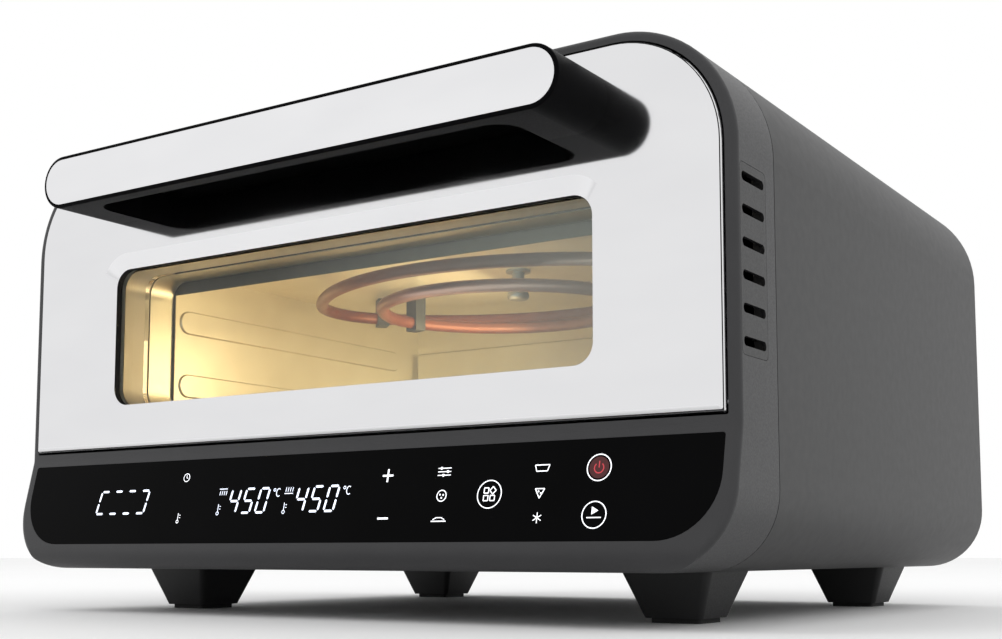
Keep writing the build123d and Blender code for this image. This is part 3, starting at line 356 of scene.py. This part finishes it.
def on_panel(x, drop, lift=0.0):
    """Point on the panel, x to the right of its middle and drop below its top edge, in millimetres."""
    return panel_top + panel_right * (x * MM) - panel_up * (drop * MM) + panel_out * lift


def marks(name, shapes, finish):
    """Flat lit shapes on the panel, each a thin closed plate. A shape is a list of (x, drop) points."""
    mesh = bpy.data.meshes.new(name)
    work = bmesh.new()
    for shape in shapes:
        low = [work.verts.new(on_panel(x, drop, MARK_LIFT)) for x, drop in shape]
        high = [work.verts.new(on_panel(x, drop, MARK_LIFT + MARK_THICK)) for x, drop in shape]
        work.faces.new(high)
        work.faces.new(list(reversed(low)))
        for i in range(len(shape)):
            j = (i + 1) % len(shape)
            work.faces.new((low[i], low[j], high[j], high[i]))
    bmesh.ops.recalc_face_normals(work, faces=work.faces)
    work.to_mesh(mesh)
    work.free()
    mesh.materials.append(finish)
    piece = bpy.data.objects.new(name, mesh)
    bpy.context.scene.collection.objects.link(piece)
    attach(piece, "body")
    return piece


def bar(start, end, width):
    """Straight stroke between two points."""
    along = Vector((end[0] - start[0], end[1] - start[1])).normalized() * (width / 2)
    side = Vector((-along.y, along.x))
    a, b = Vector(start), Vector(end)
    return [tuple(a + side), tuple(b + side), tuple(b - side), tuple(a - side)]


def circle(centre, radius, steps=28):
    """Points around a circle."""
    turns = [2 * math.pi * i / steps for i in range(steps)]
    return [(centre[0] + radius * math.cos(t), centre[1] + radius * math.sin(t)) for t in turns]


def arc(centre, wide, tall, first, step):
    """Eleven points along an ellipse, step degrees apart from the first angle on."""
    turns = [math.radians(first + step * i) for i in range(11)]
    return [(centre[0] + wide * math.cos(t), centre[1] + tall * math.sin(t)) for t in turns]


def outline(points, width, closed=True):
    """Strokes along a line of points."""
    ends = points[1:] + points[:1] if closed else points[1:]
    return [bar(a, b, width) for a, b in zip(points, ends)]


DIGIT_WIDE = 6.4
DIGIT_TALL = 13.4
SEGMENT_WIDE = 1.25
SEGMENT_GAP = 0.45
LEAN = 0.17
SEGMENTS = {
    "a": ((0, 0), (1, 0)), "b": ((1, 0), (1, 0.5)), "c": ((1, 0.5), (1, 1)), "d": ((0, 1), (1, 1)),
    "e": ((0, 0.5), (0, 1)), "f": ((0, 0), (0, 0.5)), "g": ((0, 0.5), (1, 0.5)),
}
DIGITS = {"4": "bcfg", "5": "acdfg", "0": "abcdef", "[": "adef", "=": "ad", "]": "abcd"}


def segment(x, drop, key):
    """One pointed bar of a leaning seven-segment digit whose top left is at x, drop."""
    ends = []
    for across, down in SEGMENTS[key]:
        low = down * DIGIT_TALL
        ends.append(Vector((x + across * DIGIT_WIDE + LEAN * (DIGIT_TALL - low), drop + low)))
    along = (ends[1] - ends[0]).normalized()
    side = Vector((-along.y, along.x)) * (SEGMENT_WIDE / 2)
    tip = along * (SEGMENT_WIDE / 2)
    a, b = ends[0] + along * SEGMENT_GAP, ends[1] - along * SEGMENT_GAP
    return [tuple(p) for p in (a, a + tip + side, b - tip + side, b, b - tip - side, a + tip - side)]


def number(x, drop, text, pitch):
    """Seven-segment number."""
    return [
        segment(x + index * pitch, drop, key)
        for index, digit in enumerate(text)
        for key in DIGITS[digit]
    ]


def thermometer(x, drop, tall):
    """Small thermometer: a bulb with a stem."""
    return outline(circle((x, drop + tall * 0.36), tall * 0.15, 14), 0.35) + [
        bar((x, drop - tall / 2), (x, drop + tall * 0.2), 0.4),
        bar((x + 0.9, drop - tall * 0.3), (x + 1.9, drop - tall * 0.3), 0.35),
        bar((x + 0.9, drop - tall * 0.05), (x + 1.9, drop - tall * 0.05), 0.35),
    ]


def degrees(x, drop):
    """Degree ring and the letter C, in small strokes."""
    letter = arc((x + 3.0, drop + 0.3), 1.5, 2.2, 50, 26)
    return outline(circle((x, drop - 1.2), 0.75, 12), 0.35) + outline(letter, 0.45, closed=False)


def element_sign(x, plate, rays):
    """Heating element: a line at drop plate, with four slanting rays of heat that start at drop rays."""
    heat = [bar((x + 1.0 + i * 1.6, rays), (x + 0.7 + i * 1.6, rays + 2.4), 0.4) for i in range(4)]
    return [bar((x, plate), (x + 6.0, plate), 0.45)] + heat


display_marks = number(-170.0, 17.2, "[==]", 11.4)
for start in (-62.5, -13.5):
    display_marks += number(start, 18.3, "450", 10.6)
    display_marks += degrees(start + 33.5, 20.6)
    display_marks += thermometer(start - 7.0, 29.6, 6.0)
# The upper element's sign and the lower one's, beside their temperatures.
display_marks += element_sign(-70.6, plate=17.9, rays=19.0)
display_marks += element_sign(-21.6, plate=21.6, rays=18.2)
marks("display_digits", display_marks, lit_print("lit_display_segment", "#e9f0ff", 1.0))

CLOCK = (-98.6, 10.4)
clock = outline(circle(CLOCK, 2.3), 0.4) + [
    bar(CLOCK, (-98.6, 8.9), 0.4),
    bar(CLOCK, (-97.5, 10.9), 0.4),
]
plus_and_minus = [
    bar((44.2, 13.9), (51.0, 13.9), 1.0),
    bar((47.6, 10.5), (47.6, 17.3), 1.0),
    bar((44.6, 36.3), (51.4, 36.3), 1.0),
]
key_marks = clock + thermometer(-100.0, 34.0, 5.6) + plus_and_minus


def sliders(x, drop):
    """Three level lines with their knobs: a programme set by hand."""
    lines = [bar((x - 4, drop + d), (x + 4, drop + d), 0.45) for d in (-1.8, 0, 1.8)]
    return lines + [circle((x + k, drop + d), 0.75, 10) for k, d in ((-2, -1.8), (2, 0), (-0.5, 1.8))]


def round_pizza(x, drop):
    """Round pizza with toppings."""
    spots = [circle((x + a, drop + b), 0.5, 8) for a, b in ((-1.0, -0.6), (1.0, -0.4), (0.0, 1.1))]
    return outline(circle((x, drop), 2.8, 24), 0.5) + spots


def flat_crust(x, drop):
    """Thin crust seen from the side."""
    crust = [(x - 3.6, drop + 0.1), (x - 1.5, drop - 0.9), (x + 1.5, drop - 0.9), (x + 3.6, drop + 0.1)]
    return [bar((x - 4.5, drop + 0.9), (x + 4.5, drop + 0.9), 0.55)] + outline(crust, 0.45, closed=False)


def deep_pan(x, drop):
    """Deep pan seen from the side."""
    return outline([(x - 4, drop - 1.4), (x + 4, drop - 1.4), (x + 3, drop + 1.6), (x - 3, drop + 1.6)], 0.5)


def slice_sign(x, drop):
    """One slice."""
    toppings = [circle((x - 0.7, drop - 0.7), 0.5, 8), circle((x + 0.6, drop + 0.1), 0.4, 8)]
    return outline([(x - 2.6, drop - 2.0), (x + 2.6, drop - 2.0), (x, drop + 2.6)], 0.5) + toppings


def snowflake(x, drop):
    """Six-pointed frost sign."""
    turns = [math.pi / 3 * i + math.pi / 6 for i in range(3)]
    spokes = [(2.6 * math.cos(t), 2.6 * math.sin(t)) for t in turns]
    return [bar((x - a, drop - b), (x + a, drop + b), 0.45) for a, b in spokes]


def square(x, drop, half):
    """Small upright square."""
    return outline(
        [(x - half, drop - half), (x + half, drop - half), (x + half, drop + half), (x - half, drop + half)],
        0.5,
    )


LEFT_COLUMN = 83.1
RIGHT_COLUMN = 140.2
TOP_ROW = 13.0
BOTTOM_ROW = 37.3
key_marks += sliders(LEFT_COLUMN, TOP_ROW)
key_marks += round_pizza(LEFT_COLUMN, 25.3)
key_marks += flat_crust(LEFT_COLUMN, BOTTOM_ROW)
key_marks += deep_pan(RIGHT_COLUMN, TOP_ROW)
key_marks += slice_sign(RIGHT_COLUMN, 25.2)
key_marks += snowflake(RIGHT_COLUMN, BOTTOM_ROW)

# Round programme key with its four small shapes.
key_marks += outline(circle((111.6, 25.2), 6.9, 40), 0.5)
for x, drop in ((109.7, 23.3), (109.7, 27.1), (113.5, 27.1)):
    key_marks += square(x, drop, 1.3)
key_marks += outline([(113.5, 21.4), (115.3, 23.3), (113.5, 25.2), (111.7, 23.3)], 0.5)

# Start key: a ring with a play sign over a line. The power key has the same ring.
START_KEY = (170.8, 36.3)
POWER_KEY = (171.1, 13.9)
KEY_RING = 6.3
key_marks += outline(circle(START_KEY, KEY_RING, 40), 0.5)
key_marks += [[(169.4, 32.4), (172.9, 34.3), (169.4, 36.2)], bar((167.0, 37.6), (174.6, 37.6), 0.5)]
key_marks += outline(circle(POWER_KEY, KEY_RING, 40), 0.5)
marks("key_signs", key_marks, lit_print("lit_key_sign", "#f4f6fa", 0.9))

marks("power_key_disc", [circle(POWER_KEY, 5.2, 40)], lit_print("red_key_disc", "#3c0508", 0.35))
open_ring = arc((171.1, 14.1), 2.5, 2.5, -50, 28)
power_sign = outline(open_ring, 0.55, closed=False) + [bar((171.1, 10.8), (171.1, 14.0), 0.55)]
power_piece = marks("power_sign", power_sign, lit_print("red_key_sign", "#a8323a", 0.7))
power_piece.location += panel_out * MARK_THICK


# ---- Studio ----


# Metres.
FLOOR_RADIUS = 9.0
OVEN_MIDDLE = (0.0, 0.0, 0.15)


def stage_floor():
    """Wide pale floor, matt like a painted studio."""
    mesh = bpy.data.meshes.new("studio_floor")
    work = bmesh.new()
    bmesh.ops.create_circle(work, cap_ends=True, segments=96, radius=FLOOR_RADIUS)
    work.to_mesh(mesh)
    work.free()
    finish = Finish("studio_floor_paint", "#f2f2f2", {"IOR": 1.45, "Roughness": 0.75})
    finish.tint(finish.pattern(600.0), "#f0f0f0", "#f4f4f4")
    mesh.materials.append(finish.material)
    floor = bpy.data.objects.new("studio_floor", mesh)
    bpy.context.scene.collection.objects.link(floor)


def soft_light(name, place, aim, size, power, colour="#ffffff"):
    """Rectangular soft light at place, facing aim."""
    light = bpy.data.lights.new(name, "AREA")
    light.shape = "RECTANGLE"
    light.size, light.size_y = size
    light.energy = power
    light.color = hex_colour(colour)[:3]
    lamp = bpy.data.objects.new(name, light)
    lamp.location = place
    lamp.rotation_euler = (Vector(aim) - Vector(place)).to_track_quat("-Z", "Y").to_euler()
    lamp.visible_camera = False
    bpy.context.scene.collection.objects.link(lamp)
    return lamp


stage_floor()
world = bpy.data.worlds.new("studio_air")
world.use_nodes = True
air = world.node_tree.nodes["Background"]
air.inputs["Strength"].default_value = 1.0
air.inputs["Color"].default_value = hex_colour("#ffffff")
bpy.context.scene.world = world

# Two softboxes that shape the casing; the polished door doesn't mirror them.
key = soft_light("key_softbox", (-1.6, -2.2, 2.4), OVEN_MIDDLE, size=(1.6, 1.6), power=18)
side = soft_light("side_softbox", (2.4, 0.5, 1.9), (0.1, 0, 0.15), size=(1.2, 1.2), power=10)
key.visible_glossy = False
side.visible_glossy = False

# The oven's own light, warm near the left wall and weaker to the right.
cavity_low, cavity_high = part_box("cavity_ceiling")
left, front, roof = cavity_low
rear = cavity_high.y
middle = (front + rear) / 2
soft_light(
    "left_wall_light",
    (left + 0.17, front + 0.13, roof - 0.07),
    (left, front + 0.11, roof - 0.075),
    size=(0.10, 0.10),
    power=0.30,
    colour="#ffe3ae",
)
soft_light(
    "roof_light",
    (left + 0.12, middle - 0.02, roof - 0.09),
    (left + 0.10, middle, roof),
    size=(0.12, 0.12),
    power=0.10,
    colour="#ffe4b8",
)
soft_light(
    "rear_wall_light",
    (0.06, front + 0.05, roof - 0.04),
    (0.06, rear, roof - 0.07),
    size=(0.2, 0.03),
    power=0.05,
    colour="#e6f0ee",
)

# ---- Camera ----

CAMERA_PLACE = (0.4799, -0.7271, 0.0351)
CAMERA_RISE = 5.59
CAMERA_TURN = 33.35
FOCAL_LENGTH = 48.90

lens = bpy.data.cameras.new("camera")
lens.sensor_width = 36.0
lens.lens = FOCAL_LENGTH
lens.shift_x = -0.0063
lens.shift_y = 0.10
lens.clip_start = 0.01
camera = bpy.data.objects.new("camera", lens)
camera.location = CAMERA_PLACE
camera.rotation_euler = (math.radians(90 + CAMERA_RISE), 0, math.radians(CAMERA_TURN))
bpy.context.scene.collection.objects.link(camera)
bpy.context.scene.camera = camera
bpy.context.scene.view_settings.view_transform = "Standard"
